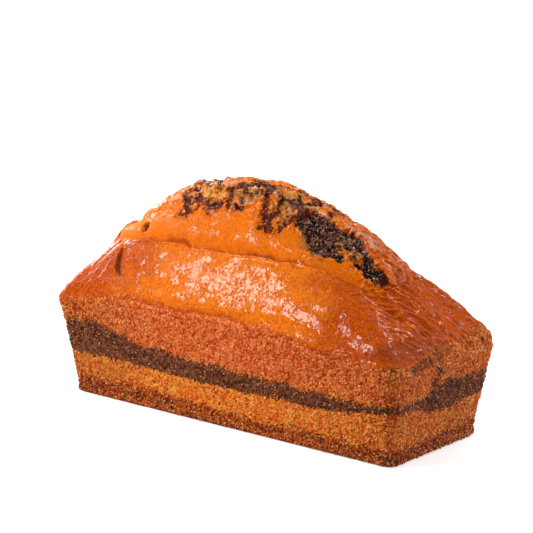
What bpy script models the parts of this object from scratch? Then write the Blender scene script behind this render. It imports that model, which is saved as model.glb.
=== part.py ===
"""Marble loaf cake, whole and uncut: a loaf baked in a flared tin, whose crust is split along the top by the
crown that rose through it.

Metres, +Z up. The origin is under the middle of the loaf, on its flat underside. X runs along the loaf and -Y
is its front. The loaf is one body, built as closed rings of vertices stacked from the underside up to the
ridge of the crown.
"""

import math

import bmesh
import bpy

MM = 0.001

# Underside and walls, as the tin shaped them
BASE_LENGTH = 186.5 * MM
BASE_WIDTH = 64 * MM
BASE_CORNER = 4 * MM  # radius of the upright corners at the underside
BASE_EDGE = 1.2 * MM  # rounding between underside and walls
WALL_LEAN = 0.15  # outward travel of a wall for each unit of height
WALL_CORNER_GROWTH = 0.08  # growth of the corner radius for each unit of height
LIP_FLARE = 1 * MM  # extra flare just below the shoulder, where the batter climbed past the tin

# Heights along the loaf are level over its middle, and ease to another value at each end
LEFT_EASE = (45 * MM, 100 * MM)
RIGHT_EASE = (40 * MM, 98 * MM)

# Shoulder, where the walls turn into the crust
SHOULDER_MIDDLE = 52 * MM
SHOULDER_LEFT = 47 * MM
SHOULDER_RIGHT = 41 * MM

# Tear in the crust that the crown rises from: a long blunt oval, seen from above
TEAR_LEFT = -84 * MM
TEAR_RIGHT = 75 * MM
TEAR_CENTRE = (TEAR_LEFT + TEAR_RIGHT) / 2
TEAR_HALF_LENGTH = (TEAR_RIGHT - TEAR_LEFT) / 2
TEAR_HALF_WIDTH = 25 * MM
TEAR_BLUNTNESS = 3.2  # exponent of the oval: 2 is an ellipse, higher is more like a rectangle
TEAR_HEIGHT_MIDDLE = 78.5 * MM
TEAR_HEIGHT_LEFT = 70 * MM
TEAR_HEIGHT_RIGHT = 55 * MM
TEAR_CAMBER = 10 * MM  # rise of the torn edge from its long sides to the middle of its two ends
TEAR_DEPTH = 0.8 * MM  # how deep the crease between crust and crown is
CRUST_FULLNESS = 0.74  # exponent of the crust's rise: 1 is a straight flank, lower is a fuller one

# Crown: its ridge falls away from the peak to both ends of the tear
PEAK_X = -2 * MM
PEAK_HEIGHT = 108 * MM
RIDGE_END_HEIGHT = 77 * MM
RIDGE_FALL_LEFT = 2.5  # exponent of the fall: higher keeps the ridge level for longer
RIDGE_FALL_RIGHT = 1.6
RIDGE_SHORTENING = 0.12  # how much shorter the ridge is than the tear
CROWN_FULLNESS = 0.85  # exponent of the crown's cross-section: 1 is a parabola, lower is rounder

# Vertices round a ring, and rings in each zone
LONG_SIDE_STEPS = 46
SHORT_SIDE_STEPS = 16
CORNER_STEPS = 5
WALL_RINGS = 7
CRUST_RINGS = 8
CROWN_RINGS = 10
CROWN_RING_SPREAD = 1.4  # 1 spaces the crown's rings evenly, higher draws them towards the crease
CROWN_LAST_RING = 0.93  # how far in from the crease the last ring lies, 1 being the ridge itself

CRUST_COLOUR = (0.60, 0.17, 0.03, 1)
CRUST_ROUGHNESS = 0.45


def clear_scene():
    for obj in list(bpy.data.objects):
        bpy.data.objects.remove(obj, do_unlink=True)


def ease(span, value):
    """0 before the span and 1 after it, with a smooth change between."""
    start, end = span
    t = min(max((value - start) / (end - start), 0.0), 1.0)
    return t * t * (3 - 2 * t)


def along_loaf(x, left, middle, right):
    return middle + (left - middle) * ease(LEFT_EASE, -x) + (right - middle) * ease(RIGHT_EASE, x)


def shoulder_height(x):
    return along_loaf(x, SHOULDER_LEFT, SHOULDER_MIDDLE, SHOULDER_RIGHT)


def tear_height(x, y):
    camber = TEAR_CAMBER * (1 - (y / TEAR_HALF_WIDTH) ** 2) ** 2
    return along_loaf(x, TEAR_HEIGHT_LEFT, TEAR_HEIGHT_MIDDLE, TEAR_HEIGHT_RIGHT) + camber


def ridge_height(x):
    """The ridge's height at x: it falls from the peak to each end of the tear."""
    end_x, fall = (TEAR_LEFT, RIDGE_FALL_LEFT) if x < PEAK_X else (TEAR_RIGHT, RIDGE_FALL_RIGHT)
    along = min((x - PEAK_X) / (end_x - PEAK_X), 1.0)
    return PEAK_HEIGHT - (PEAK_HEIGHT - RIDGE_END_HEIGHT) * along**fall


def tear_half_width(x):
    """Half the tear's width at x."""
    along = min(abs(x - TEAR_CENTRE) / TEAR_HALF_LENGTH, 1.0)
    return TEAR_HALF_WIDTH * (1 - along**TEAR_BLUNTNESS) ** (1 / TEAR_BLUNTNESS)


def crown_height(x, y):
    half_width = tear_half_width(x)
    across = min(abs(y) / half_width, 1.0) if half_width > 0 else 1.0
    edge = tear_height(x, half_width)
    return edge + max(ridge_height(x) - edge, 0.0) * (1 - across**2) ** CROWN_FULLNESS


def between(start, end, steps):
    """The points that cut a straight side into steps, without its two ends."""
    return [
        (start[0] + (end[0] - start[0]) * k / steps, start[1] + (end[1] - start[1]) * k / steps)
        for k in range(1, steps)
    ]


def tin_outline(outward, corner):
    """Points round the base outline grown by outward, as (x, y), anticlockwise from the back of the right end."""
    inner_x = BASE_LENGTH / 2 + outward - corner
    inner_y = BASE_WIDTH / 2 + outward - corner
    centres = ((inner_x, inner_y), (-inner_x, inner_y), (-inner_x, -inner_y), (inner_x, -inner_y))
    arcs = []
    for quarter, (centre_x, centre_y) in enumerate(centres):
        angles = [math.pi / 2 * (quarter + step / CORNER_STEPS) for step in range(CORNER_STEPS + 1)]
        arcs.append([(centre_x + corner * math.cos(a), centre_y + corner * math.sin(a)) for a in angles])
    points = []
    for quarter, arc in enumerate(arcs):
        side_steps = SHORT_SIDE_STEPS if quarter % 2 else LONG_SIDE_STEPS
        points += arc + between(arc[-1], arcs[quarter - 3][0], side_steps)
    return points


def wall_outline(height, share):
    """The loaf's outline at a height, and at a share of the way up its wall."""
    outward = WALL_LEAN * height + LIP_FLARE * share**3
    return tin_outline(outward, BASE_CORNER + WALL_CORNER_GROWTH * height)


def wall_rings():
    """Rings from the underside up to the shoulder, whose height changes along the loaf."""
    rings = [[(x, y, 0.0) for x, y in tin_outline(-BASE_EDGE, BASE_CORNER)]]
    shoulder = wall_outline(SHOULDER_MIDDLE, 1.0)
    for step in range(WALL_RINGS + 1):
        share = step / WALL_RINGS
        ring = []
        for k, (shoulder_x, _) in enumerate(shoulder):
            height = BASE_EDGE + (shoulder_height(shoulder_x) - BASE_EDGE) * share
            ring.append((*wall_outline(height, share)[k], height))
        rings.append(ring)
    return rings


def tear_point(x, y):
    """The point of the tear's oval that faces (x, y), a point of the loaf's outline."""
    angle = math.atan2(y / BASE_WIDTH, x / BASE_LENGTH)
    power = 2 / TEAR_BLUNTNESS
    reach_x = math.copysign(abs(math.cos(angle)) ** power, math.cos(angle))
    reach_y = math.copysign(abs(math.sin(angle)) ** power, math.sin(angle))
    return TEAR_CENTRE + TEAR_HALF_LENGTH * reach_x, TEAR_HALF_WIDTH * reach_y


def crust_rings(shoulder):
    """Rings from just above the shoulder to the crease round the crown."""
    rings = []
    for step in range(1, CRUST_RINGS + 1):
        share = step / CRUST_RINGS
        crease = TEAR_DEPTH if step == CRUST_RINGS else 0.0
        ring = []
        for x, y, height in shoulder:
            tear_x, tear_y = tear_point(x, y)
            rise = (tear_height(tear_x, tear_y) - height) * share**CRUST_FULLNESS
            ring.append((x + (tear_x - x) * share, y + (tear_y - y) * share, height + rise - crease))
        rings.append(ring)
    return rings


def crown_rings(crease):
    """Rings from the crease inwards, narrowing on to the ridge."""
    rings = []
    for step in range(1, CROWN_RINGS + 1):
        inwards = CROWN_LAST_RING * (step / CROWN_RINGS) ** CROWN_RING_SPREAD
        ring = []
        for x, y, _ in crease:
            ring_x = TEAR_CENTRE + (x - TEAR_CENTRE) * (1 - RIDGE_SHORTENING * inwards)
            ring_y = y * (1 - inwards)
            ring.append((ring_x, ring_y, crown_height(ring_x, ring_y)))
        rings.append(ring)
    return rings


def skin(bm, rings):
    """Faces between each ring and the next, the flat underside, and a strip along the ridge."""
    layers = [[bm.verts.new(point) for point in ring] for ring in rings]
    for lower, upper in zip(layers, layers[1:]):
        for k in range(len(lower)):
            bm.faces.new((lower[k - 1], lower[k], upper[k], upper[k - 1]))
    bm.faces.new(reversed(layers[0]))
    close_ridge(bm, layers[-1])


def close_ridge(bm, ring):
    """Faces across the narrow last ring, each joining two of its edges that face each other over the ridge."""
    right_tip = -SHORT_SIDE_STEPS // 2
    for k in range(right_tip, right_tip + len(ring) // 2):
        facing = -SHORT_SIDE_STEPS - k
        corners = (ring[k], ring[k + 1], ring[facing - 1], ring[facing])
        bm.faces.new(list(dict.fromkeys(corners)))


def centre_along_x(bm):
    """Puts the middle of the loaf's length at x = 0: its higher left end leans out a little further."""
    ends = [v.co.x for v in bm.verts]
    bmesh.ops.translate(bm, verts=bm.verts, vec=(-(min(ends) + max(ends)) / 2, 0, 0))


def crust_material():
    material = bpy.data.materials.new("loaf_crust")
    material.use_nodes = True
    surface = material.node_tree.nodes["Principled BSDF"]
    surface.inputs["Base Color"].default_value = CRUST_COLOUR
    surface.inputs["Roughness"].default_value = CRUST_ROUGHNESS
    surface.inputs["Metallic"].default_value = 0.0
    return material


def build_loaf():
    rings = wall_rings()
    rings += crust_rings(rings[-1])
    rings += crown_rings(rings[-1])
    bm = bmesh.new()
    skin(bm, rings)
    centre_along_x(bm)
    mesh = bpy.data.meshes.new("marble_loaf")
    bm.to_mesh(mesh)
    bm.free()
    mesh.materials.append(crust_material())
    mesh.shade_smooth()
    loaf = bpy.data.objects.new("marble_loaf", mesh)
    bpy.context.scene.collection.objects.link(loaf)


clear_scene()
build_loaf()
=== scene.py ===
"""Marble loaf cake: the crumb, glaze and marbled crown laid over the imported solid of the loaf."""
import itertools
import math

import bpy
import numpy as np
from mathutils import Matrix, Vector


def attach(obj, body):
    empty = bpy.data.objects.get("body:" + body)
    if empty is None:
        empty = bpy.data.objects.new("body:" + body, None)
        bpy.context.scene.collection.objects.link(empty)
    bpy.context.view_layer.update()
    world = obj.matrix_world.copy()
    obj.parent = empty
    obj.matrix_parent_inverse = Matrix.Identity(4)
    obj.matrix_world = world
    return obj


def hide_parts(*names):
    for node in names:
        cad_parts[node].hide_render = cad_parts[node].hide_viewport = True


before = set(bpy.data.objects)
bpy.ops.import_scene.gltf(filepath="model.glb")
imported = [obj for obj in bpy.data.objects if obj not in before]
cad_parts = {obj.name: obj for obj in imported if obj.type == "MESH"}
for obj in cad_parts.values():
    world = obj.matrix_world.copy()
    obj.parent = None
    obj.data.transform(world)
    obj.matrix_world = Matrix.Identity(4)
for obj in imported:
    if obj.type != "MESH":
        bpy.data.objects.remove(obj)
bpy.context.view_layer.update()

MM = 0.001
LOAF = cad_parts["marble_loaf"]

# Fixed random numbers behind all unevenness of the shape.
DICE = np.random.default_rng(4)
SHUFFLE = DICE.permutation(512)
SLOPES = DICE.normal(size=(512, 3))
SLOPES /= np.linalg.norm(SLOPES, axis=1)[:, None]
MIDDLES = DICE.random((512, 3))

# Fineness of the three skins, in mm.
SIDES_VOXEL = 0.62
CRUST_VOXEL = 0.56
CROWN_VOXEL = 0.45

# The tear: the oval in plan where the crown has broken through the crust, in mm.
TEAR_MIDDLE = -3.2
TEAR_HALF_LENGTH = 80.3
TEAR_HALF_WIDTH = 25.0
TEAR_BLUNTNESS = 3.2
TEAR_CAMBER = 10.0
TEAR_HEIGHTS = [(-100, 70), (-93, 70.5), (-75, 74), (-52, 78), (0, 78.5), (48, 77.5), (70, 67), (90, 57), (100, 55)]

# Height of the glaze's lower edge along the front and the back, as (x, z) in mm.
GLAZE_EDGE_FRONT = [(-100, 42.5), (-85, 43.5), (-70, 46), (-55, 49.5), (30, 50.5), (48, 49), (60, 46.5), (75, 44.5),
                    (100, 42)]
GLAZE_EDGE_BACK = [(-100, 47), (-70, 49), (-30, 51), (30, 50), (60, 47), (80, 45), (100, 43.5)]

# Heights of the cocoa band's two edges.
BAND_LOW_FRONT = [(-100, 21), (-60, 21.2), (-30, 20), (10, 19.3), (60, 19.8), (75, 21.3), (88, 23.2), (100, 24)]
BAND_HIGH_FRONT = [(-100, 35.5), (-82, 38.5), (-70, 38), (-60, 35.5), (-50, 32.5), (-40, 30.8), (-20, 30),
                   (0, 29.3), (20, 28.3), (60, 27), (80, 26.8), (92, 27.2), (100, 27)]
BAND_LOW_BACK = [(-100, 21), (-40, 20), (20, 21.5), (70, 19.5), (100, 21)]
BAND_HIGH_BACK = [(-100, 34), (-60, 30), (-20, 31.5), (30, 28.5), (70, 31), (100, 30.5)]
BASE_TOP = [(-100, 9), (-40, 9.5), (0, 9), (25, 7.6), (45, 9), (65, 7.6), (100, 7.2)]

# Brush strokes over the crown, in plan: each is a run of (x, y, radius) dabs in mm.
COCOA_STREAKS = [
    [(-40, -11.5, 1.2), (-37, -14, 2), (-34.5, -17, 1.2)],
    [(-39, -18, 0.7), (-34.5, -18.3, 0.9), (-27, -16.3, 0.6)],
    [(-34, -14, 1.3), (-30, -12.8, 1.6), (-26, -14.8, 1)],
    [(-38.5, -10.5, 1), (-33.5, -8, 1.5), (-34, -4, 1.3), (-36, 0, 1.6), (-41, 4, 0.8)],
    [(-30, 2, 1.5), (-26, -2.5, 1.3), (-22.5, -5.5, 1.5), (-19.5, -9, 0.8)],
    [(-24, -15, 1), (-20, -16.3, 1.7), (-16, -15.8, 1.3), (-13, -13.2, 0.9)],
    [(-13, -9.5, 0.8), (-10.5, -12, 1.2), (-9.6, -15.5, 1)],
    [(-7, -15.4, 0.7), (-4, -15.6, 1), (-1, -14.6, 0.6)],
    [(-3.5, -13.4, 0.6), (-2, -13.3, 0.6)],
    [(-6, 0, 1), (0, -3.5, 1.6), (5, -5.5, 1.8), (9, -7, 1.2)],
    [(2, -9, 0.6), (6, -9.2, 0.9), (10, -9.2, 0.9)],
    [(8.5, -9, 0.9), (10.2, -13, 1.8), (12.4, -17.3, 2), (18, -19.3, 1)],
    [(16.5, -9.5, 0.9), (17, -13.5, 1.5), (14.2, -17.5, 1.6)],
    [(27, -12.6, 1), (24.4, -15.8, 1.2), (21.5, -18.4, 0.9)],
    [(13, -7.8, 0.7), (19, -8.2, 0.9), (25, -8.6, 1.1), (30, -9.4, 1.8)],
    [(12, 1.5, 1.1), (20, 3, 1.6), (27, 1.2, 1.4), (33, 0, 0.9)],
    [(-52, 7, 0.8), (-44, 10, 1.8), (-35, 8.5, 1.3), (-26, 11, 1.5)],
    [(-22, 16.5, 1.2), (-12, 13, 2), (-3, 14.5, 1.5), (6, 11.5, 1.9), (13, 13, 0.8)],
    [(-10, 6, 0.9), (0, 7.5, 1.6), (10, 6, 1)],
    [(20, 10, 1.6), (28, 13.5, 2.6), (37, 11.5, 2), (44, 14, 1)],
    [(30, 5, 0.9), (38, 4, 1.5), (46, 5.6, 0.8)],
]
FISSURE = [
    [(30, -12.4, 2.6), (35, -11.4, 5), (42, -12.8, 7.4), (48, -12.4, 7), (52, -10, 6.3), (56, -9.4, 5.6),
     (62, -11, 4.1), (68, -10.8, 3), (73, -9.4, 1.9), (77.5, -8, 1)],
    [(42, -15.5, 4.9), (49, -15.6, 4), (55, -16.6, 1.4)],
    [(52.5, -5.4, 2.4), (56, -4.8, 2.2)],
]
ISLAND = [[(51.6, -12.9, 1.1), (54.6, -14.6, 1.7), (58.4, -13.6, 2.6), (61.6, -11.6, 1.5)], [(66.5, -9.6, 0.7), (70.5, -8.6, 0.8)]]
TAN_CRUMB = [
    [(-29, -4, 2.4), (-26, -8, 4.4), (-20, -12, 3.8), (-14.5, -11.6, 2.6)],
    [(12, -2.4, 1.6), (21, -3.4, 2.6), (30, -4.2, 2.4), (34, -5.6, 1)],
    [(19, -11, 1.8), (21.5, -14, 2.8), (22, -17, 1.4)],
    [(-42, 3, 2), (-34, 4.5, 2.8), (-20, 3.5, 2.4)],
    [(-12, 9.5, 2.2), (2, 11, 2.6), (14, 9, 2)],
    [(24, 8, 2.2), (34, 8.2, 2)],
    [(-38, -14.4, 1.4), (-33, -10.8, 2)],
    [(-24, -12.6, 2), (-17.5, -14.2, 1.6)],
    [(-11, -8.4, 2.2), (-3, -8, 2.4), (5, -10.2, 1.6)],
    [(13.6, -11.4, 1.4), (15.4, -15.2, 1.2)],
]
OLIVE_CRUMB = [
    [(-7, -11.2, 2.6), (0, -11, 2.8), (6, -11, 1.6)],
    [(10, -5, 2), (20, -9, 2.4), (28, -8, 2)],
    [(-38, -6, 1.6), (-30, 0, 2.4), (-16, 0, 2.2)],
    [(18, -11, 2), (24, -11, 2), (22, -15.5, 2)],
    [(67, -11.2, 1.6), (72, -11.2, 1.2)],
    [(33, -17.2, 1), (38, -20, 1.1), (47, -20.6, 1), (50, -19.4, 0.8)],
]
# Curled edges of the crackled top, as (x, y, radius) in plan.
CRACKLE_CRESTS = [
    [(-18, -7, 1), (-10, -6.8, 1.1), (-2, -7.6, 1), (5, -9.9, 0.8), (11, -8.6, 1), (20, -6.6, 1), (30, -6.8, 1.1),
     (37, -6, 1), (44, -7, 0.9), (50, -8.6, 0.8)],
    [(-47, -13, 0.8), (-41, -9, 1), (-38, -3, 1), (-37, 4, 1)],
    [(-24, 0, 1), (-17, -5.5, 0.9)],
    [(21, -10.6, 0.8), (25, -12.2, 0.7), (28, -12, 0.6)],
    [(48, -2.8, 1), (56, -0.8, 1.1), (64, -3, 1)],
    [(-9, -16.6, 0.6), (-4, -13.8, 0.8), (4, -13.4, 0.7)],
    [(-30, 9, 1), (-16, 8.5, 1), (0, 3.5, 1), (16, 6.4, 1), (32, 3, 1)],
]
HOLLOWS = [[(-60, -18.2, 0.6), (-57.6, -19.5, 1.3), (-55.6, -20.7, 0.5)]]

# Marks on the front flank, as (x, z, radius) in mm.
SLIT = [[(-66.8, 72.6, 0.3), (-65.4, 69.4, 1.3), (-63.8, 66.6, 1.7), (-61.4, 64, 0.9), (-58.8, 62.2, 0.2)]]
SMUDGE = [[(86, 48, 1.5), (92, 50, 2.5), (96, 47, 2)]]
# Where the glaze lies in smooth lacy patches on the flanks.
LACE = [[(-44, 76, 4), (-30, 72, 8), (-5, 71, 11), (22, 66, 10), (40, 60, 5), (62, 54, 5), (76, 50, 4)]]
# Marks on the low end's wall, as (y, z, radius).
PLUME = [[(-9, 32, 2.6), (-7.4, 36.5, 2.4), (-8, 40, 1.2)], [(-26, 41.4, 1.6), (-16, 43.4, 2.2), (-6, 44.4, 1.2)]]


# ---------------------------------------------------------------- hand tools

def choose(*pieces):
    bpy.ops.object.select_all(action="DESELECT")
    for piece in pieces:
        piece.select_set(True)
    bpy.context.view_layer.objects.active = pieces[-1]


def apply_modifier(piece, kind, **settings):
    modifier = piece.modifiers.new(kind.lower(), kind)
    for name, value in settings.items():
        setattr(modifier, name, value)
    choose(piece)
    bpy.ops.object.modifier_apply(modifier=modifier.name)


def vertices_of(piece):
    """The vertices of a piece, in mm."""
    flat = np.empty(len(piece.data.vertices) * 3)
    piece.data.vertices.foreach_get("co", flat)
    return flat.reshape(-1, 3) / MM


def normals_of(piece):
    flat = np.empty(len(piece.data.vertices) * 3)
    piece.data.vertex_normals.foreach_get("vector", flat)
    return flat.reshape(-1, 3)


def place(piece, points):
    piece.data.vertices.foreach_set("co", (points * MM).ravel())
    piece.data.update()


def paint(piece, name, values):
    """Keeps one number for each vertex, which the materials read by name."""
    layer = piece.data.attributes.new(name, "FLOAT", "POINT")
    layer.data.foreach_set("value", np.asarray(values, np.float32))


def between(places, stops):
    """Reads a line drawn through (place, value) stops."""
    return np.interp(places, [stop[0] for stop in stops], [stop[1] for stop in stops])


def ease(values, low, high):
    """0 at low, 1 at high and smooth between, either way round."""
    share = np.clip((values - low) / (high - low), 0, 1)
    return share * share * (3 - 2 * share)


def swell(values, centre, width):
    """A soft hump, 1 at its centre."""
    return np.exp(-(((values - centre) / width) ** 2))


def shuffled(cell):
    """A fixed number below 512 for each whole-numbered cell of space."""
    x, y, z = (cell & 511).T
    return SHUFFLE[(SHUFFLE[(SHUFFLE[x] + y) & 511] + z) & 511]


def ripple(points, size, shift=0.0):
    """Smooth unevenness, mostly from -0.7 to 0.7, in lumps of about that size in mm."""
    spot = points / size + shift
    cell = np.floor(spot).astype(int)
    part = spot - cell
    share = part**3 * (part * (part * 6 - 15) + 10)
    total = np.zeros(len(spot))
    for corner in itertools.product((0, 1), repeat=3):
        weight = np.prod(np.where(corner, share, 1 - share), axis=1)
        total += weight * (SLOPES[shuffled(cell + corner)] * (part - corner)).sum(axis=1)
    return total * 1.4


def ridged(points, size, shift=0.0):
    """Unevenness with sharp crests, from 0 in the dips to 1 on the crests."""
    return np.clip(1 - 2.2 * np.abs(ripple(points, size, shift)), 0, 1) ** 1.5


def drawn_along(points, direction, share):
    """Points pressed together along one direction, so that unevenness stretches out that way."""
    run = np.array(direction) / np.linalg.norm(direction)
    return points - np.outer(points @ run, run) * (1 - share)


def grains(points, size, shift=0.0):
    """Distance to the nearest grain's middle: 0 there, and about 1 between grains of that size."""
    spot = points / size + shift
    cell = np.floor(spot).astype(int)
    nearest = np.full(len(spot), 9.0)
    for step in itertools.product((-1, 0, 1), repeat=3):
        middle = cell + step + MIDDLES[shuffled(cell + step)]
        nearest = np.minimum(nearest, ((middle - spot) ** 2).sum(axis=1))
    return np.sqrt(nearest)


def brushed(across, along, strokes, soft):
    """How far brush strokes cover each place: 0.5 on their outline, 1 and 0 half the soft width to each side."""
    depth = np.full(len(across), -1e3)
    for stroke in strokes:
        for (a, b, wide), (a_next, b_next, wide_next) in zip(stroke, stroke[1:]):
            reach = (a_next - a) ** 2 + (b_next - b) ** 2
            share = np.clip(((across - a) * (a_next - a) + (along - b) * (b_next - b)) / reach, 0, 1)
            distance = np.hypot(across - a - share * (a_next - a), along - b - share * (b_next - b))
            depth = np.maximum(depth, wide + share * (wide_next - wide) - distance)
    return np.clip(0.5 + depth / soft, 0, 1)


# ------------------------------------------------------------ where things are

def beyond_tear(x, y):
    """Distance in plan from the tear's edge: above 0 over the crust, below 0 over the crown."""
    u = np.abs(x - TEAR_MIDDLE) / TEAR_HALF_LENGTH
    v = np.abs(y) / TEAR_HALF_WIDTH
    size = np.maximum((u**TEAR_BLUNTNESS + v**TEAR_BLUNTNESS) ** (1 / TEAR_BLUNTNESS), 0.2)
    steep = TEAR_BLUNTNESS - 1
    slope = np.hypot((u / size) ** steep / TEAR_HALF_LENGTH, (v / size) ** steep / TEAR_HALF_WIDTH)
    return (size - 1) / slope


def tear_height(x, y):
    camber = np.clip(1 - (y / TEAR_HALF_WIDTH) ** 2, 0, 1) ** 2
    return between(x, TEAR_HEIGHTS) + TEAR_CAMBER * camber


def front_to_back(x, y, front, back):
    """A height that follows one line along the front and another along the back, and turns between at the ends."""
    turn = ease(y, -32, 32)
    return between(x, front) * (1 - turn) + between(x, back) * turn


def above_glaze_edge(points):
    x, y, z = points.T
    wander = 1.3 * ripple(points, 9, 3.1) + 0.6 * ripple(points, 3, 8.2)
    return z - front_to_back(x, y, GLAZE_EDGE_FRONT, GLAZE_EDGE_BACK) + wander


def torn_edge(points):
    """Distance from the tear's edge, with the wander of a real tear."""
    flat = points * (1, 1, 0)
    return beyond_tear(points[:, 0], points[:, 1]) + 0.9 * ripple(flat, 11, 5.7) + 0.4 * ripple(flat, 4, 1.3)


# ------------------------------------------------------------------ the skins

def fine_copy(name, voxel, smoothing):
    """A copy of the solid loaf with a fine even skin, its flat facets eased away."""
    piece = bpy.data.objects.new(name, LOAF.data.copy())
    bpy.context.scene.collection.objects.link(piece)
    piece.data.materials.clear()
    choose(piece)
    bpy.ops.object.mode_set(mode="EDIT")
    bpy.ops.mesh.select_all(action="SELECT")
    bpy.ops.mesh.remove_doubles(threshold=0.01 * MM)
    bpy.ops.object.mode_set(mode="OBJECT")
    apply_modifier(piece, "REMESH", mode="VOXEL", voxel_size=voxel * MM)
    apply_modifier(piece, "SMOOTH", factor=0.5, iterations=smoothing)
    return piece


def trim(piece, keep):
    """Takes away the vertices that aren't kept, and draws each opening shut at a hidden point in its middle."""
    piece.data.polygons.foreach_set("select", np.zeros(len(piece.data.polygons), bool))
    piece.data.edges.foreach_set("select", np.zeros(len(piece.data.edges), bool))
    piece.data.vertices.foreach_set("select", ~keep)
    choose(piece)
    bpy.ops.object.mode_set(mode="EDIT")
    bpy.ops.mesh.select_mode(type="VERT")
    bpy.ops.mesh.delete(type="VERT")
    bpy.ops.mesh.select_all(action="SELECT")
    bpy.ops.mesh.delete_loose(use_verts=True, use_edges=True, use_faces=False)
    bpy.ops.mesh.select_all(action="DESELECT")
    bpy.ops.mesh.select_mode(type="EDGE")
    bpy.ops.mesh.select_non_manifold(extend=False, use_wire=False, use_boundary=True,
                                     use_multi_face=False, use_non_contiguous=False, use_verts=False)
    bpy.ops.mesh.extrude_region_move()
    bpy.ops.mesh.merge(type="COLLAPSE")
    bpy.ops.object.mode_set(mode="OBJECT")


def finish_piece(piece, material, faceted=False):
    choose(piece)
    if faceted:
        bpy.ops.object.shade_flat()
    else:
        bpy.ops.object.shade_smooth()
    piece.data.materials.append(material)
    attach(piece, "root")
    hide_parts("marble_loaf")


def flatten_underside(piece):
    """Turns the flat underside's many small faces into one."""
    mesh = piece.data
    middles = np.empty(len(mesh.polygons) * 3)
    mesh.polygons.foreach_get("center", middles)
    facing = np.empty(len(mesh.polygons) * 3)
    mesh.polygons.foreach_get("normal", facing)
    flat = (middles.reshape(-1, 3)[:, 2] < 0.01 * MM) & (facing.reshape(-1, 3)[:, 2] < -0.9999)
    mesh.vertices.foreach_set("select", np.zeros(len(mesh.vertices), bool))
    mesh.edges.foreach_set("select", np.zeros(len(mesh.edges), bool))
    mesh.polygons.foreach_set("select", flat)
    choose(piece)
    bpy.ops.object.mode_set(mode="EDIT")
    bpy.ops.mesh.select_mode(type="FACE")
    bpy.ops.mesh.dissolve_faces(use_verts=False)
    bpy.ops.object.mode_set(mode="OBJECT")


def band_cover(points):
    """How far the cocoa band covers each place on the walls, with a crisp lower edge and a speckled upper one."""
    x, y, z = points.T
    low_end = ease(x, 82, 97)
    low = front_to_back(x, y, BAND_LOW_FRONT, BAND_LOW_BACK) - 3.4 * low_end * swell(y, 1, 17)
    high = front_to_back(x, y, BAND_HIGH_FRONT, BAND_HIGH_BACK) + 3 * low_end * swell(y, 2, 15)
    low = low + 0.7 * ripple(points, 6, 2.2)
    high = high + 1.4 * ripple(points, 9, 7.9)
    band = np.clip(0.5 + np.minimum((z - low) / 2, (high - z) / 4.5), 0, 1)
    plume = brushed(y + 1.2 * ripple(points, 4, 4.4), z, PLUME, 3) * ease(x, 80, 90) * 0.8
    return np.maximum(band, plume)


def browning_and_shade(x):
    """How far the walls are darkened toward the two ends of the loaf: browning at both ends, and painted shade at
    the high end where the light falls off.
    """
    return between(x, [(-96, 0.85), (-60, 0.46), (-35, 0.06), (20, 0), (60, 0.24), (88, 0.45), (97, 0.75)])


def edge_reach(x, y):
    """How far up, in mm, the rough crumb fades into the glaze: far at the two ends, crisp at the near corner."""
    low_end = 6 * ease(x, 80, 92) * ease(y, -30, -8)
    return between(x, [(-100, 10), (-60, 9), (-40, 6), (20, 4.5), (40, 2.6), (100, 2.2)]) + low_end


def make_sides(material):
    """The tin-baked walls and the underside: coarse crumb with the cocoa band."""
    piece = fine_copy("baked_sides", SIDES_VOXEL, 14)
    points = vertices_of(piece)
    out = normals_of(piece)
    z = points[:, 2]
    above = above_glaze_edge(points)
    relief = 0.42 * (0.5 - grains(points, 1.9, 2.5)) + 0.26 * (0.5 - grains(points, 1.1, 5.1))
    relief += 0.3 * ripple(points, 3.2, 9.1) + 0.4 * ripple(points, 14, 6.3)
    relief -= 0.5 * ease(ripple(points, 5, 31.7), 0.42, 0.62)
    relief *= ease(z, 0.1, 1.6)
    dive = 1.6 * ease(above, 0.2, 2.4)
    points = points + out * (relief - dive)[:, None]
    foot = ease(points[:, 2], 5, 0)
    points[:, 0] *= 1 + 0.011 * foot
    points[:, 1] *= 1 + 0.026 * foot
    points[:, 2] = np.maximum(points[:, 2], 0)
    place(piece, points)
    paint(piece, "cocoa", band_cover(points))
    under = np.clip(0.5 + (between(points[:, 0], BASE_TOP) - points[:, 2]) / 6, 0, 1)
    paint(piece, "base", under * between(points[:, 0], [(-70, 1.4), (-40, 1.15), (0, 0.72), (50, 0.85), (90, 1.05)]))
    paint(piece, "browned_and_shade", browning_and_shade(points[:, 0]))
    trim(piece, above < 3.4)
    flatten_underside(piece)
    finish_piece(piece, material)
    return piece


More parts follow.
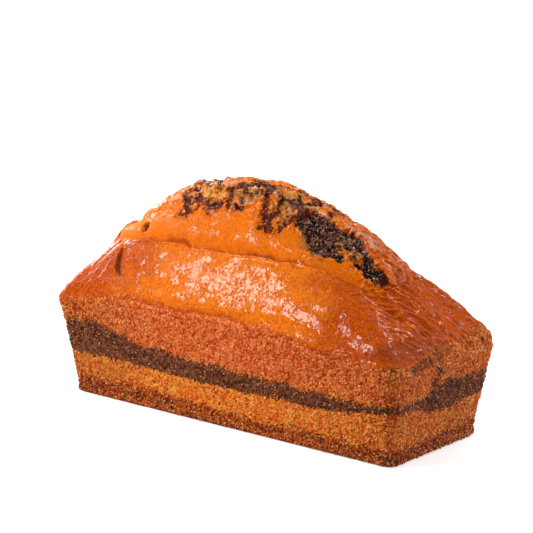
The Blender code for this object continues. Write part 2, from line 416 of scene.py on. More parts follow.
def make_crust(material):
    """The glazed flanks, from the tin's edge up to the tear."""
    piece = fine_copy("glazed_crust", CRUST_VOXEL, 26)
    points = vertices_of(piece)
    out = normals_of(piece)
    x, y, z = points.T
    above = above_glaze_edge(points)
    beyond = torn_edge(points)
    lumpy = 0.26 + 0.3 * ease(x, 46, 66)
    relief = 0.42 * ripple(points * (0.7, 1, 1), 13, 4.6) + lumpy * ripple(points, 7, 12.9)
    relief += 0.1 * ripple(points, 3.1, 7.7) + 0.04 * ripple(points, 1.7, 2.9)
    swirled = points + 1.6 * np.stack([ripple(points, 9, 41.3), ripple(points, 9, 43.9), ripple(points, 9, 47.1)], 1)
    left_folds = ridged(drawn_along(swirled, (-0.51, -0.49, -0.71), 0.2), 4.2, 15.2)
    right_folds = ridged(drawn_along(swirled, (0.52, 0.61, -0.59), 0.3), 2.9, 19.4)
    right_folds += 0.8 * ridged(drawn_along(swirled, (0.4, 0.75, -0.5), 0.34), 5, 29.4)
    relief += 0.36 * left_folds * ease(x, -56, -80)
    relief += 0.82 * right_folds * ease(x, 44, 72) * ease(y, -34, -14)
    relief += 0.35 * (0.5 - grains(points, 1.7, 8.5)) * (1 - ease(above, 0.3, edge_reach(x, y)))
    step = between(x, [(-60, 0), (-30, 0.2), (40, 0.3)])
    relief += step * ease(above, 0, 1.5) - 1.8 * ease(above, 0, -2.2)
    # A real groove above the glaze's lower edge, which is also painted darker as its shade.
    groove_and_shade = swell(above, 2.2, 1.4) * ease(x, -62, -44) * ease(x, 34, 12)
    relief += 0.45 * swell(above, 6.5, 3) * ease(x, -62, -44) * ease(x, 34, 12) - 0.8 * groove_and_shade
    relief += 0.5 * swell(above, 1.6, 1.2) * ease(x, 24, 44)
    lip = between(x, [(-84, 0.1), (-66, 0.2), (-54, 0.8), (-30, 0.7), (20, 0.6), (36, 0.1), (48, 0.5), (64, 0.9), (76, 0.4)])
    relief += lip * swell(beyond, 0.6, 0.6)
    slit = brushed(x, z, SLIT, 1.6) * (y < 0)
    relief -= 1.7 * ease(slit, 0.1, 1)
    relief += 0.5 * swell(slit, 0.12, 0.12)
    points = points + out * relief[:, None]
    sunk = ease(beyond, 0.3, -0.8)
    level = tear_height(x, y) + lip * 0.5
    points[:, 2] = np.where(beyond < 0.6, np.minimum(points[:, 2], level + 0.4), points[:, 2]) - 3.2 * sunk
    place(piece, points)
    smudge = brushed(points[:, 1], points[:, 2], PLUME, 3) * ease(x, 80, 90) * 0.75
    smudge = np.maximum(smudge, brushed(x, z, SMUDGE, 4) * (y < 0) * 0.42)
    paint(piece, "cocoa", np.maximum(smudge, 0.9 * ease(slit, 0.25, 0.8)))
    paint(piece, "edge", 1 - ease(above, 0.2, edge_reach(x, y)))
    paint(piece, "groove_and_shade", groove_and_shade)
    paint(piece, "browned_and_shade", browning_and_shade(x))
    lace = brushed(x, z, LACE, 14)
    on_folds = ease(x, -52, -70) * ease(left_folds, 0.3, 0.8) + ease(x, 44, 60) * ease(right_folds, 0.4, 0.95)
    paint(piece, "wet", np.maximum(1.3 * on_folds - 0.4, 0.65 * lace - 0.35))
    # Deeper glaze toward the low end; toward the high end this is painted shade, as the light falls off there.
    paint(piece, "deep_glaze_and_shade", between(x, [(-100, 1.1), (-62, 0.9), (-46, 0.6), (-28, 0.15), (0, 0), (30, 0), (52, 0.5),
                                     (80, 1.1)]))
    trim(piece, (above > -2.6) & (beyond > -3.4))
    finish_piece(piece, material)
    return piece


def make_crown(material):
    """The marbled crown that has risen through the tear."""
    piece = fine_copy("marbled_crown", CROWN_VOXEL, 22)
    points = vertices_of(piece)
    near = (points[:, 2] > 50) & (torn_edge(points) < 4)
    trim(piece, near)
    points = vertices_of(piece)
    out = normals_of(piece)
    x, y, z = points.T
    beyond = torn_edge(points)
    wander_x = x + 1.2 * ripple(points, 4.2, 3.3) + 0.7 * ripple(points, 1.7, 5.1)
    wander_y = y + 1.2 * ripple(points, 4.2, 8.8) + 0.7 * ripple(points, 1.7, 9.9)
    island = brushed(wander_x, wander_y, ISLAND, 1)
    fissure = brushed(wander_x, wander_y, FISSURE, 1.2) * (1 - island)
    swirled = np.stack([wander_x, wander_y, z], 1)
    veins = ease(ridged(swirled * (0.55, 1, 0.6), 6.5, 51.7), 0.55, 0.72)
    veins *= ease(y, -13, -8) * ease(x, -46, -38) * ease(x, 46, 36) * ease(y, 26, 20)
    streaks = np.maximum(brushed(wander_x, wander_y, COCOA_STREAKS, 2.2), veins)
    halo = np.maximum(brushed(wander_x, wander_y, COCOA_STREAKS, 5), veins)
    hollow = brushed(x, y, HOLLOWS, 1.4)
    tan = brushed(wander_x, wander_y, TAN_CRUMB, 3)
    olive = np.maximum(brushed(wander_x, wander_y, OLIVE_CRUMB, 2.5), 0.75 * brushed(wander_x, wander_y, FISSURE, 6))
    crest = brushed(wander_x, wander_y, CRACKLE_CRESTS, 2.4)
    crumbly = np.maximum(fissure, streaks * 0.7)
    top = ease(y, -19, -15) * ease(x, -62, -46)
    relief = 0.24 * ripple(points, 9, 2.4) + 0.08 * ripple(points, 3.4, 6.6)
    relief += top * (0.9 * ripple(points, 5, 14.1) + 0.9 * ridged(points * (0.6, 1, 1), 2.6, 17.3) - 0.36)
    relief += 1.1 * crest * (1 - 0.6 * fissure)
    relief -= 2.1 * fissure + 0.7 * streaks + 2.4 * hollow
    relief += crumbly * (1.1 * (0.5 - grains(points, 2.1, 1.1)) + 0.7 * ripple(points, 2.6, 23.5))
    relief += fissure * 0.8 * (0.5 - grains(points, 1.2, 4.1))
    relief -= 0.25 * swell(beyond, -0.3, 0.5)
    relief += (0.35 * swell(beyond, -2, 1.6) - 1.2 * swell(beyond, -8, 4)) * ease(x, 58, 40)
    points = points + out * relief[:, None]
    points[:, 2] -= 3.4 * ease(beyond, 0, 2.4)
    place(piece, points)
    paint(piece, "cocoa", np.maximum(streaks, hollow))
    paint(piece, "fissure", fissure)
    paint(piece, "crumbly", crumbly)
    paint(piece, "halo", halo)
    paint(piece, "tan", tan)
    # Painted sheen: whitish streaks along the crests and wisps over the top, standing for the reflection of the back
    # lights.
    painted_sheen = brushed(wander_x, wander_y, CRACKLE_CRESTS, 1.8) * (1 - 0.8 * np.maximum(fissure, streaks))
    sheen_wisp = ease(ridged(swirled * (0.4, 1, 1), 4.4, 61.3), 0.6, 0.9) * ease(y, -14, -6)
    paint(piece, "painted_sheen", np.maximum(painted_sheen, 0.6 * top * sheen_wisp))
    paint(piece, "olive", olive)
    paint(piece, "wet", 0.9 * np.maximum(top, 0.9 * ease(x, 48, 60)) - 0.32)
    # Painted shade: a thin dark red line where the crown meets the crust's torn edge.
    paint(piece, "crease_shade", swell(beyond, 0.15, 0.4) * ease(x, -70, -56))
    paint(piece, "browned_and_shade", 0.85 * ease(x, 40, 58) * ease(y, -9, -3))
    finish_piece(piece, material)
    return piece


# ---------------------------------------------------------------- node helpers

def linear(red, green, blue):
    """A colour given as seen, 0 to 255, in the form the sockets take."""
    shares = [value / 255 for value in (red, green, blue)]
    return [share / 12.92 if share <= 0.04045 else ((share + 0.055) / 1.055) ** 2.4 for share in shares] + [1]


def new_node(tree, kind, **settings):
    made = tree.nodes.new("ShaderNode" + kind)
    for name, value in settings.items():
        setattr(made, name, value)
    return made


def feed(tree, value, socket):
    """Links an output to a socket, or sets a plain value on it."""
    if isinstance(value, bpy.types.NodeSocket):
        tree.links.new(value, socket)
    else:
        socket.default_value = value


def maths(tree, operation, first, second=0.0, clamp=False):
    made = new_node(tree, "Math", operation=operation, use_clamp=clamp)
    feed(tree, first, made.inputs[0])
    feed(tree, second, made.inputs[1])
    return made.outputs[0]


def fade(tree, value, low, high):
    """0 at low, 1 at high and smooth between."""
    made = new_node(tree, "MapRange", interpolation_type="SMOOTHSTEP")
    feed(tree, value, made.inputs["Value"])
    feed(tree, low, made.inputs["From Min"])
    feed(tree, high, made.inputs["From Max"])
    return made.outputs["Result"]


def blend(tree, share, first, second, mode="MIX"):
    """Mixes two colours; the colour sockets of the node are inputs 6 and 7 and output 2."""
    made = new_node(tree, "Mix", data_type="RGBA", blend_type=mode)
    feed(tree, share, made.inputs["Factor"])
    feed(tree, first, made.inputs[6])
    feed(tree, second, made.inputs[7])
    return made.outputs[2]


def painted(tree, name):
    return new_node(tree, "Attribute", attribute_name=name).outputs["Fac"]


def object_place(tree):
    return new_node(tree, "TexCoord").outputs["Object"]


def cloud(tree, where, size, detail=2.0, rough=0.5, twist=0.0):
    """Soft noise in lumps of that size in mm."""
    made = new_node(tree, "TexNoise")
    feed(tree, where, made.inputs["Vector"])
    feed(tree, 1 / (size * MM), made.inputs["Scale"])
    feed(tree, detail, made.inputs["Detail"])
    feed(tree, rough, made.inputs["Roughness"])
    feed(tree, twist, made.inputs["Distortion"])
    return made.outputs["Fac"]


def cells(tree, where, size, feature="F1"):
    made = new_node(tree, "TexVoronoi", feature=feature)
    feed(tree, where, made.inputs["Vector"])
    feed(tree, 1 / (size * MM), made.inputs["Scale"])
    return made


def new_group(name, inputs, outputs):
    tree = bpy.data.node_groups.new(name, "ShaderNodeTree")
    for label, value in inputs.items():
        tree.interface.new_socket(label, in_out="INPUT", socket_type="NodeSocketFloat").default_value = value
    for label in outputs:
        tree.interface.new_socket(label, in_out="OUTPUT", socket_type="NodeSocketFloat")
    return tree, tree.nodes.new("NodeGroupInput").outputs, tree.nodes.new("NodeGroupOutput").inputs


def use_group(tree, group, **inputs):
    made = new_node(tree, "Group", node_tree=group)
    for name, value in inputs.items():
        feed(tree, value, made.inputs[name.replace("_", " ")])
    return made.outputs


def new_material(name):
    material = bpy.data.materials.new(name)
    material.use_nodes = True
    tree = material.node_tree
    return material, tree, tree.nodes["Principled BSDF"]


def raise_surface(tree, shader, height):
    """Turns a height in mm into the shader's relief."""
    made = new_node(tree, "Bump")
    made.inputs["Strength"].default_value = 1
    made.inputs["Distance"].default_value = MM
    feed(tree, height, made.inputs["Height"])
    tree.links.new(made.outputs["Normal"], shader.inputs["Normal"])


# ------------------------------------------------------------- shared effects

def chance(tree, cell):
    """One random number, 0 to 1, for each cell."""
    split = new_node(tree, "SeparateColor")
    feed(tree, cell.outputs["Color"], split.inputs[0])
    return split.outputs[0]


def weighed(tree, *pairs):
    """The sum of values, each times its weight."""
    total = 0.0
    for value, weight in pairs:
        total = maths(tree, "ADD", total, maths(tree, "MULTIPLY", value, weight))
    return total


def inverse(tree, value):
    return maths(tree, "SUBTRACT", 1.0, value)


def two_tone(tree, tone, pair):
    return blend(tree, tone, pair[0], pair[1])


def crumb_grain_group():
    """Baked crumb: its relief in mm, the tone of each grain, pale grains and dark pores."""
    tree, _, out = new_group("crumb grain", {}, ["Height", "Tone", "Pale Grains", "Pores"])
    where = object_place(tree)
    coarse = cells(tree, where, 1.15)
    fine = cells(tree, where, 0.62)
    clump = cloud(tree, where, 2.6, detail=3, rough=0.6)
    patch = cloud(tree, where, 9, detail=2)
    grit = cloud(tree, where, 0.55, detail=2, rough=0.6)
    height = weighed(tree, (coarse.outputs["Distance"], -0.42), (fine.outputs["Distance"], -0.2), (grit, 0.26))
    feed(tree, height, out["Height"])
    tone = weighed(tree, (chance(tree, coarse), 0.42), (chance(tree, fine), 0.34), (clump, 0.5), (patch, 0.35),
                   (coarse.outputs["Distance"], -0.28))
    feed(tree, fade(tree, tone, 0.32, 1.02), out["Tone"])
    scattered = cells(tree, where, 1.4)
    lucky = fade(tree, maths(tree, "ADD", chance(tree, scattered), maths(tree, "MULTIPLY", clump, 0.3)), 0.86, 0.94)
    small = fade(tree, scattered.outputs["Distance"], 0.42, 0.24)
    feed(tree, maths(tree, "MULTIPLY", lucky, small), out["Pale Grains"])
    holes = cloud(tree, where, 1.0, detail=2, rough=0.55)
    feed(tree, fade(tree, holes, 0.38, 0.28), out["Pores"])
    return tree


def ragged_edge_group():
    """Breaks the soft edge of a painted area into the ragged, grainy edge of batter."""
    tree, inputs, out = new_group("ragged edge", {"Cover": 0.5, "Reach": 0.6}, ["Cover"])
    where = object_place(tree)
    speckle = cells(tree, where, 0.95)
    lump = cloud(tree, where, 2.2, detail=3, rough=0.6)
    break_up = weighed(tree, (chance(tree, speckle), 0.6), (lump, 0.9))
    shift = maths(tree, "MULTIPLY", maths(tree, "SUBTRACT", break_up, 0.75), inputs["Reach"])
    feed(tree, fade(tree, maths(tree, "ADD", inputs["Cover"], shift), 0.42, 0.58), out["Cover"])
    return tree


def glaze_skin_group():
    """The brushed glaze: its relief in mm, where it lies smooth, its pinholes and its grain."""
    tree, inputs, out = new_group("glaze skin", {"Wet": 0.0}, ["Height", "Smooth", "Pinholes", "Grain"])
    where = object_place(tree)
    holes = cells(tree, where, 1.3)
    dimple = fade(tree, holes.outputs["Distance"], 0.46, 0.3)
    often = fade(tree, cloud(tree, where, 4, detail=3, rough=0.6), 0.42, 0.48)
    pinholes = maths(tree, "MULTIPLY", maths(tree, "MULTIPLY", dimple, often), weighed(tree, (1.0, 1.0), (inputs["Wet"], -0.6)))
    spread = weighed(tree, (cloud(tree, where, 7, detail=6, rough=0.7, twist=0.4), 1.0), (inputs["Wet"], 0.2))
    sheet = fade(tree, spread, 0.475, 0.495)
    gaps = fade(tree, cloud(tree, where, 2.1, detail=3, rough=0.6, twist=0.6), 0.4, 0.45)
    gaps = maths(tree, "MAXIMUM", gaps, maths(tree, "MULTIPLY", inputs["Wet"], 0.7), clamp=True)
    sheet = maths(tree, "MULTIPLY", sheet, gaps)
    shore = fade(tree, maths(tree, "ABSOLUTE", maths(tree, "SUBTRACT", spread, 0.485)), 0.012, 0.003)
    smooth = maths(tree, "MULTIPLY", sheet, inverse(tree, pinholes))
    bubbles = cells(tree, where, 4.2)
    rim = maths(tree, "ABSOLUTE", maths(tree, "SUBTRACT", bubbles.outputs["Distance"], 0.26))
    ring = maths(tree, "MULTIPLY", fade(tree, rim, 0.08, 0.03), fade(tree, chance(tree, bubbles), 0.4, 0.46))
    ring = maths(tree, "MAXIMUM", ring, shore)
    smooth = maths(tree, "MAXIMUM", smooth, maths(tree, "MULTIPLY", ring, 0.85))
    grit = cells(tree, where, 0.85)
    grain = weighed(tree, (chance(tree, grit), 0.5), (cloud(tree, where, 0.8, detail=2), 0.5))
    rough_part = weighed(tree, (grit.outputs["Distance"], -0.13), (cloud(tree, where, 0.6, detail=2), 0.16))
    rough_part = maths(tree, "MULTIPLY", rough_part, inverse(tree, smooth))
    height = weighed(tree, (rough_part, 1.0), (smooth, 0.06), (ring, 0.04), (pinholes, -0.12),
                     (cloud(tree, where, 1.9, detail=1), 0.06))
    feed(tree, height, out["Height"])
    feed(tree, smooth, out["Smooth"])
    feed(tree, pinholes, out["Pinholes"])
    feed(tree, grain, out["Grain"])
    return tree


# ------------------------------------------------------------------ materials

# Each look of the crumb is a pair: its dark grains and its light ones.
VANILLA = [linear(248, 90, 4), linear(255, 190, 70)]
BRICK = [linear(206, 64, 12), linear(254, 150, 82)]
BASE_BAKE = [linear(44, 5, 2), linear(222, 98, 26)]
COCOA_WALL = [linear(24, 8, 7), linear(140, 82, 62)]
PALE_GRAIN = linear(255, 196, 130)
PORE = linear(70, 20, 8)
GLAZED_ORANGE = [linear(232, 86, 3), linear(255, 152, 20)]
GLAZED_DEEP = [linear(164, 50, 1), linear(228, 102, 4)]
CROWN_ORANGE = [linear(230, 98, 1), linear(252, 138, 6)]
TAN = [linear(176, 86, 5), linear(252, 182, 58)]
OLIVE = [linear(104, 56, 12), linear(206, 130, 36)]
STREAK = [linear(16, 3, 2), linear(108, 32, 8)]
FISSURE_CRUMB = [linear(16, 5, 4), linear(152, 84, 60)]
ASH = linear(210, 174, 128)
# The dark red of the painted shade in the crease along the tear.
CREASE_SHADE_RED = linear(150, 34, 6)
MAROON = linear(138, 38, 6)
TOFFEE = linear(178, 80, 10)
WET_GREY = linear(84, 44, 38)
# The whitish colour of the painted sheen on the crown's crests and top.
SHEEN_WHITE = linear(236, 206, 178)
# Browned tones, which at the high end also serve as painted shade.
BROWNED_AND_SHADE_TONES = [linear(104, 22, 3), linear(232, 138, 54)]


def sides_material(grain, ragged):
    material, tree, shader = new_material("baked crumb")
    crumb = use_group(tree, grain)
    tone = crumb["Tone"]
    split = new_node(tree, "SeparateXYZ")
    feed(tree, object_place(tree), split.inputs[0])
    height = maths(tree, "DIVIDE", split.outputs["Z"], MM)
    cover = use_group(tree, ragged, Cover=painted(tree, "cocoa"), Reach=0.95)["Cover"]
    base = use_group(tree, ragged, Cover=painted(tree, "base"), Reach=0.9)["Cover"]
    colour = blend(tree, fade(tree, height, 26, 31), two_tone(tree, tone, VANILLA), two_tone(tree, tone, BRICK))
    # Browned tones toward the ends, with painted shade at the high end.
    colour = blend(tree, painted(tree, "browned_and_shade"), colour, two_tone(tree, tone, BROWNED_AND_SHADE_TONES))
    colour = blend(tree, maths(tree, "MULTIPLY", base, 0.9), colour, two_tone(tree, tone, BASE_BAKE))
    colour = blend(tree, maths(tree, "MULTIPLY", cover, 0.94), colour, two_tone(tree, tone, COCOA_WALL))
    colour = blend(tree, maths(tree, "MULTIPLY", crumb["Pores"], 0.5), colour, PORE)
    pale = maths(tree, "MULTIPLY", crumb["Pale Grains"], weighed(tree, (0.8, 1.0), (cover, -0.35)))
    colour = blend(tree, pale, colour, PALE_GRAIN)
    feed(tree, colour, shader.inputs["Base Color"])
    feed(tree, weighed(tree, (0.62, 1.0), (tone, -0.36), (crumb["Pale Grains"], -0.1)), shader.inputs["Roughness"])
    shader.inputs["Specular IOR Level"].default_value = 0.24
    raise_surface(tree, shader, crumb["Height"])
    return material


def crust_material(glaze, grain, ragged):
    material, tree, shader = new_material("glazed crust")
    skin = use_group(tree, glaze, Wet=painted(tree, "wet"))
    crumb = use_group(tree, grain)
    patches = cloud(tree, object_place(tree), 14, detail=3)
    # Deeper pools of glaze, with painted shade toward the high end.
    pools = fade(tree, weighed(tree, (patches, 0.8), (painted(tree, "deep_glaze_and_shade"), 0.6)), 0.48, 1.02)
    colour = blend(tree, pools, two_tone(tree, skin["Grain"], GLAZED_ORANGE), two_tone(tree, skin["Grain"], GLAZED_DEEP))
    colour = blend(tree, maths(tree, "MULTIPLY", skin["Pinholes"], 0.24), colour, MAROON)
    # Painted shade along the groove above the glaze's lower edge.
    colour = blend(tree, maths(tree, "MULTIPLY", painted(tree, "groove_and_shade"), 0.6), colour, GLAZED_DEEP[0])
    edge = use_group(tree, ragged, Cover=painted(tree, "edge"), Reach=1.2)["Cover"]
    # The crumb at the glaze's edge, browned toward the ends, with painted shade at the high end.
    brick = blend(tree, painted(tree, "browned_and_shade"), two_tone(tree, crumb["Tone"], BRICK),
                  two_tone(tree, crumb["Tone"], BROWNED_AND_SHADE_TONES))
    brick = blend(tree, maths(tree, "MULTIPLY", crumb["Pale Grains"], 0.75), brick, PALE_GRAIN)
    colour = blend(tree, edge, colour, brick)
    colour = blend(tree, maths(tree, "MULTIPLY", painted(tree, "cocoa"), 0.85), colour, WET_GREY)
    feed(tree, colour, shader.inputs["Base Color"])
    gloss = maths(tree, "MULTIPLY", skin["Smooth"], inverse(tree, edge))
    feed(tree, weighed(tree, (0.9, 1.0), (gloss, -0.81)), shader.inputs["Roughness"])
    shader.inputs["Specular IOR Level"].default_value = 0.21
    height = weighed(tree, (maths(tree, "MULTIPLY", skin["Height"], inverse(tree, edge)), 1.0),
                     (maths(tree, "MULTIPLY", crumb["Height"], edge), 1.0))
    raise_surface(tree, shader, height)
    return material


def crown_material(glaze, grain, ragged):
    material, tree, shader = new_material("marbled crown")
    skin = use_group(tree, glaze, Wet=painted(tree, "wet"))
    crumb = use_group(tree, grain)
    tone = crumb["Tone"]
    cover = use_group(tree, ragged, Cover=painted(tree, "cocoa"), Reach=1.1)["Cover"]
    split = use_group(tree, ragged, Cover=painted(tree, "fissure"), Reach=0.7)["Cover"]
    halo = use_group(tree, ragged, Cover=painted(tree, "halo"), Reach=0.9)["Cover"]
    tan = use_group(tree, ragged, Cover=painted(tree, "tan"), Reach=1.0)["Cover"]
    olive = use_group(tree, ragged, Cover=painted(tree, "olive"), Reach=1.1)["Cover"]
    colour = two_tone(tree, skin["Grain"], CROWN_ORANGE)
    colour = blend(tree, maths(tree, "MULTIPLY", tan, 0.85), colour, two_tone(tree, tone, TAN))
    colour = blend(tree, maths(tree, "MULTIPLY", painted(tree, "halo"), 0.6), colour, TOFFEE)
    colour = blend(tree, maths(tree, "MULTIPLY", halo, 0.7), colour, MAROON)
    colour = blend(tree, maths(tree, "MULTIPLY", olive, 0.75), colour, two_tone(tree, tone, OLIVE))
    # Painted shade in the crease along the tear.
    colour = blend(tree, maths(tree, "MULTIPLY", painted(tree, "crease_shade"), 0.7), colour, CREASE_SHADE_RED)
    colour = blend(tree, maths(tree, "MULTIPLY", cover, 0.88), colour, two_tone(tree, tone, STREAK))
    colour = blend(tree, painted(tree, "browned_and_shade"), colour, two_tone(tree, skin["Grain"], GLAZED_DEEP))
    dark = blend(tree, maths(tree, "MULTIPLY", crumb["Pale Grains"], 0.6), two_tone(tree, tone, FISSURE_CRUMB), ASH)
    colour = blend(tree, split, colour, dark)
    # Painted sheen: whitish wisps blended into the colour where the back lights would reflect off the crests.
    sheen_wisps = fade(tree, weighed(tree, (cloud(tree, object_place(tree), 1.6, detail=3), 1.0),
                               (painted(tree, "painted_sheen"), 0.68)), 0.74, 1.0)
    colour = blend(tree, maths(tree, "MULTIPLY", sheen_wisps, weighed(tree, (0.38, 1.0), (tan, -0.24))), colour, SHEEN_WHITE)
    feed(tree, colour, shader.inputs["Base Color"])
    crumbly = painted(tree, "crumbly")
    loose = maths(tree, "MAXIMUM", maths(tree, "MULTIPLY", crumbly, 0.6), maths(tree, "MULTIPLY", tan, 0.4))
    loose = maths(tree, "MAXIMUM", loose, split)
    skin_rough = weighed(tree, (0.9, 1.0), (skin["Smooth"], -0.8))
    split_rough = weighed(tree, (1.0, 1.0), (split, -0.78))
    feed(tree, maths(tree, "MINIMUM", skin_rough, split_rough), shader.inputs["Roughness"])
    shader.inputs["Specular IOR Level"].default_value = 0.2
    height = weighed(tree, (maths(tree, "MULTIPLY", skin["Height"], inverse(tree, loose)), 1.0),
                     (maths(tree, "MULTIPLY", crumb["Height"], loose), 1.0))
    raise_surface(tree, shader, height)
    return material


def crumb_material(name, colour, other, rough, often=0.5):
    material, tree, shader = new_material(name)
    where = object_place(tree)
    tone = fade(tree, chance(tree, cells(tree, where, 1.3)), 1.1 - often, 0.9 - often)
    feed(tree, blend(tree, tone, other, colour), shader.inputs["Base Color"])
    shader.inputs["Roughness"].default_value = rough
    shader.inputs["Specular IOR Level"].default_value = 0.5
    raise_surface(tree, shader, maths(tree, "MULTIPLY", cloud(tree, where, 0.5), 0.1))
    return material


# --------------------------------------------------------------- loose crumbs

def one_crumb():
    """The shape of one crumb: a rough little stone, as its corners and faces."""
    bpy.ops.mesh.primitive_ico_sphere_add(subdivisions=1, radius=1)
    stone = bpy.context.active_object
    corners = vertices_of(stone) * MM
    corners *= 1 + 0.35 * ripple(corners, 0.7, 5.5)[:, None]
    faces = np.array([list(face.vertices) for face in stone.data.polygons])
    bpy.data.objects.remove(stone)
    return corners, faces


def scatter_crumbs(name, host, count, seed, sizes, density, material):
    """Crumbs half baked into the host's surface, joined as one piece."""
    dice = np.random.default_rng(seed)
    mesh = host.data
    mesh.calc_loop_triangles()
    triangles = np.empty(len(mesh.loop_triangles) * 3, np.int32)
    mesh.loop_triangles.foreach_get("vertices", triangles)
    points = vertices_of(host)
    corners = points[triangles.reshape(-1, 3)]
    across = np.cross(corners[:, 1] - corners[:, 0], corners[:, 2] - corners[:, 0])
    area = np.linalg.norm(across, axis=1)
    outward = across / np.maximum(area, 1e-9)[:, None]
    weight = area * density(corners.mean(axis=1), outward)
    picks = dice.choice(len(area), count, p=weight / weight.sum())
    shares = dice.dirichlet((1, 1, 1), count)
    spots = (corners[picks] * shares[:, :, None]).sum(axis=1)
    shape, faces = one_crumb()
    turns = dice.normal(size=(count, 3, 3))
    turns = np.linalg.qr(turns)[0]
    turns *= np.sign(np.linalg.det(turns))[:, None, None]
    radius = dice.triangular(sizes[0], sizes[0] * 1.15, sizes[1], count)
    stretch = dice.uniform(0.6, 1.2, (count, 1, 3))
    stones = np.einsum("nij,nkj->nki", turns, shape * stretch) * radius[:, None, None]
    stones = stones + (spots + outward[picks] * radius[:, None] * 0.15)[:, None, :]
    stones[:, :, 2] = np.maximum(stones[:, :, 2], 0)
    joined = bpy.data.meshes.new(name)
    every = (faces[None] + (np.arange(count) * len(shape))[:, None, None]).reshape(-1, 3)
    joined.from_pydata((stones.reshape(-1, 3) * MM).tolist(), [], every.tolist())
    piece = bpy.data.objects.new(name, joined)
    bpy.context.scene.collection.objects.link(piece)
    finish_piece(piece, material, faceted=True)
    return piece


# --------------------------------------------------------------- the stage

CAMERA_AZIMUTH = 40.05
CAMERA_ELEVATION = 11.25
CAMERA_DISTANCE = 0.7296
CAMERA_TARGET = Vector((0, 0, 0.0684))
CAMERA_LENS = 108.07


def toward(azimuth, elevation):
    """Unit direction out from the loaf: azimuth 0 is straight in front of the long side."""
    turn = math.radians(azimuth)
    rise = math.radians(elevation)
    return Vector((math.sin(turn) * math.cos(rise), -math.cos(turn) * math.cos(rise), math.sin(rise)))


def make_camera():
    camera = bpy.data.objects.new("camera", bpy.data.cameras.new("camera"))
    bpy.context.scene.collection.objects.link(camera)
    back = toward(CAMERA_AZIMUTH, CAMERA_ELEVATION)
    camera.location = CAMERA_TARGET + back * CAMERA_DISTANCE
    camera.rotation_mode = "QUATERNION"
    camera.rotation_quaternion = (-back).to_track_quat("-Z", "Y")
    camera.data.lens = CAMERA_LENS
    camera.data.sensor_width = 36
    camera.data.clip_start = 0.01
    camera.data.clip_end = 100
    bpy.context.scene.camera = camera


def soft_panel(name, azimuth, elevation, distance, width, height, power):
    """A studio panel that faces the middle of the loaf."""
    light = bpy.data.lights.new(name, "AREA")
    light.shape = "RECTANGLE"
    light.size = width
    light.size_y = height
    light.energy = power
    panel = bpy.data.objects.new(name, light)
    bpy.context.scene.collection.objects.link(panel)
    away = toward(azimuth, elevation)
    panel.location = CAMERA_TARGET + away * distance
    panel.rotation_mode = "QUATERNION"
    panel.rotation_quaternion = away.to_track_quat("Z", "Y")
    panel.visible_camera = False


def make_floor():
    """A white sweep to the eye, while the loaf is lit from below by the warm tone of plain baking paper."""
    bpy.ops.mesh.primitive_plane_add(size=60)
    floor = bpy.context.active_object
    floor.name = "floor"
    material, tree, shader = new_material("white sweep")
    shader.inputs["Roughness"].default_value = 0.9
    shader.inputs["Specular IOR Level"].default_value = 0
    shader.inputs["Emission Color"].default_value = (1, 1, 1, 1)
    seen = new_node(tree, "LightPath").outputs["Is Camera Ray"]
    feed(tree, blend(tree, seen, (0.62, 0.4, 0.22, 1), (0.9, 0.9, 0.9, 1)), shader.inputs["Base Color"])
    length = new_node(tree, "VectorMath", operation="LENGTH")
    feed(tree, object_place(tree), length.inputs[0])
    far = fade(tree, length.outputs["Value"], 0.15, 1.0)
    glow = weighed(tree, (far, 0.5), (0.55, 1.0))
    feed(tree, maths(tree, "MULTIPLY", glow, seen), shader.inputs["Emission Strength"])
    floor.data.materials.append(material)


def make_world():
    """A dim room with a white sweep behind the loaf, which reads as plain white where it is seen."""
    world = bpy.data.worlds.new("studio")
    bpy.context.scene.world = world
    world.use_nodes = True
    tree = world.node_tree
    background = tree.nodes["Background"]
    background.inputs["Color"].default_value = (1, 1, 1, 1)
    direction = new_node(tree, "TexCoord").outputs["Generated"]
    glows = []
    for azimuth, strength in ((232, 0.055), (158, 0.04)):
        behind = new_node(tree, "VectorMath", operation="DOT_PRODUCT")
        feed(tree, direction, behind.inputs[0])
        behind.inputs[1].default_value = toward(azimuth, 16)
        glows.append((fade(tree, behind.outputs["Value"], 0.45, 0.8), strength))
    level = weighed(tree, (0.017, 1.0), *glows)
    seen = new_node(tree, "LightPath").outputs["Is Camera Ray"]
    feed(tree, maths(tree, "MAXIMUM", level, seen), background.inputs["Strength"])


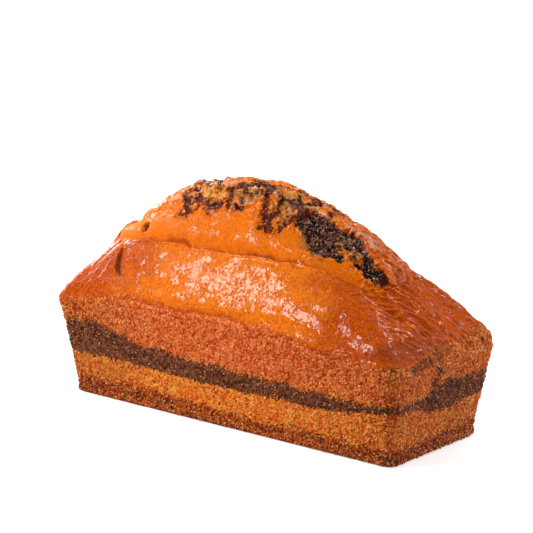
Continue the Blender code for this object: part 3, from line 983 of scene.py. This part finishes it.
def make_stage():
    make_camera()
    make_floor()
    make_world()
    soft_panel("key panel", azimuth=-40, elevation=36, distance=1.2, width=0.66, height=0.4, power=15.5)
    soft_panel("rim panel", azimuth=-110, elevation=16, distance=1.3, width=0.9, height=0.6, power=13)
    soft_panel("back panel", azimuth=212, elevation=30, distance=1.5, width=1.1, height=0.5, power=3)
    soft_panel("side panel", azimuth=122, elevation=7, distance=1.3, width=1.3, height=0.6, power=11)
    soft_panel("back strip", azimuth=160, elevation=50, distance=1.2, width=1.0, height=0.15, power=7.4)
    bpy.context.scene.view_settings.view_transform = "Standard"


# ---------------------------------------------------------------------- build

make_stage()
crumb_grain = crumb_grain_group()
ragged_edge = ragged_edge_group()
glaze_skin = glaze_skin_group()
sides = make_sides(sides_material(crumb_grain, ragged_edge))
crust = make_crust(crust_material(glaze_skin, crumb_grain, ragged_edge))
crown = make_crown(crown_material(glaze_skin, crumb_grain, ragged_edge))


def on_walls(middles, outward):
    ends = 1 + 2 * ease(middles[:, 0], 66, 92) + ease(middles[:, 0], -84, -92)
    return (outward[:, 2] > -0.7) * ease(middles[:, 2], 50, 44) * ends


def off_band(middles, outward):
    return on_walls(middles, outward) * (1 - 0.75 * band_cover(middles))


def in_band(middles, outward):
    return on_walls(middles, outward) * (0.12 + band_cover(middles) + ease(middles[:, 2], 10, 5))


def in_fissure(middles, outward):
    return brushed(middles[:, 0], middles[:, 1], FISSURE, 1) ** 2


scatter_crumbs("golden_crumbs", sides, 9000, 11, (0.2, 0.66), off_band,
               crumb_material("golden crumb", linear(244, 134, 50), linear(206, 86, 26), 0.4))
scatter_crumbs("pale_crumbs", sides, 4600, 14, (0.2, 0.54), off_band,
               crumb_material("pale crumb", linear(255, 204, 134), linear(246, 156, 84), 0.3))
scatter_crumbs("dark_crumbs", sides, 6500, 12, (0.2, 0.6), in_band,
               crumb_material("dark crumb", linear(44, 18, 12), linear(104, 46, 24), 0.4))
scatter_crumbs("cocoa_crumbs", crown, 1500, 13, (0.26, 0.85), in_fissure,
               crumb_material("cocoa crumb", linear(38, 14, 12), linear(196, 166, 126), 0.1, often=0.2))
